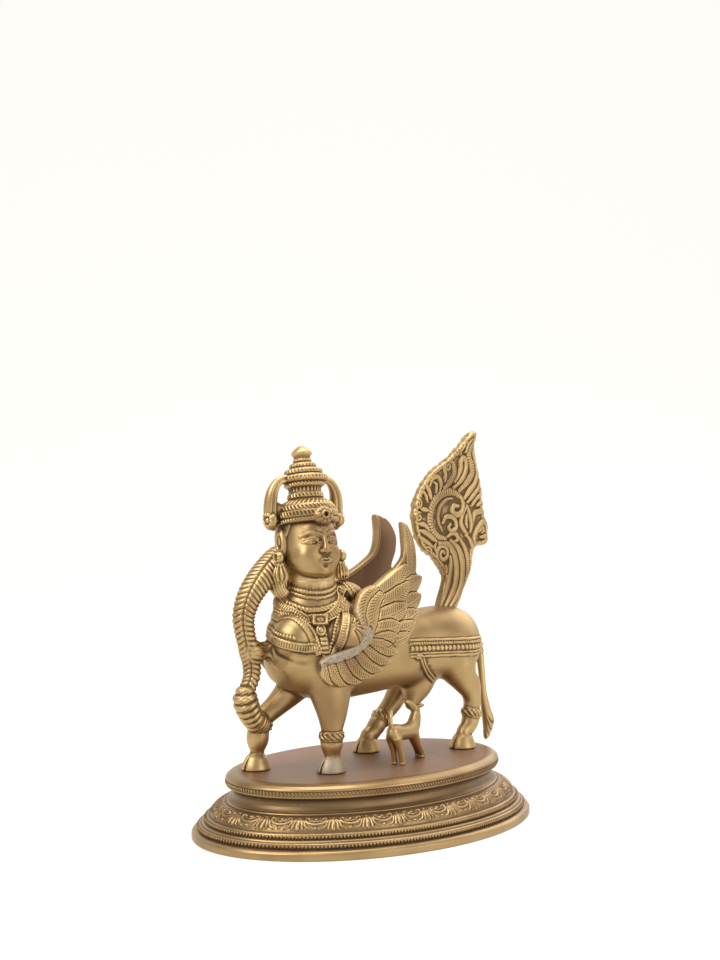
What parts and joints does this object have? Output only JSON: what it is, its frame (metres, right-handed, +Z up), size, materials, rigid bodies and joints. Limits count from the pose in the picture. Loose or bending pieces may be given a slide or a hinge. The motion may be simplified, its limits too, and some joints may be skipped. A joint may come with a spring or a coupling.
{
  "type": "winged cow figure on a stepped oval plinth",
  "caption": "Small cast brass figure of a winged cow with a woman's crowned head and bust, an upright carved tail plume and a suckling calf, on a stepped oval plinth.",
  "frame": {"origin": "centre of the plinth's underside", "axes": "+Z up; the plinth's long axis along X; the cow walks towards -X and her face looks about -Y; +Y is the side away from the face"},
  "size_m": [0.226, 0.158, 0.2273],
  "materials": {
    "golden_brass": "hand-polished heights over a dark brown patina in the carving",
    "brown_brass": "satin brown-gold, darker in the mouldings"
  },
  "bodies": {
    "root": {"plinth": "brown_brass", "cow": "golden_brass", "wing_left": "golden_brass", "wing_right": "golden_brass", "plume": "golden_brass", "calf": "golden_brass"}
  },
  "joints": []
}
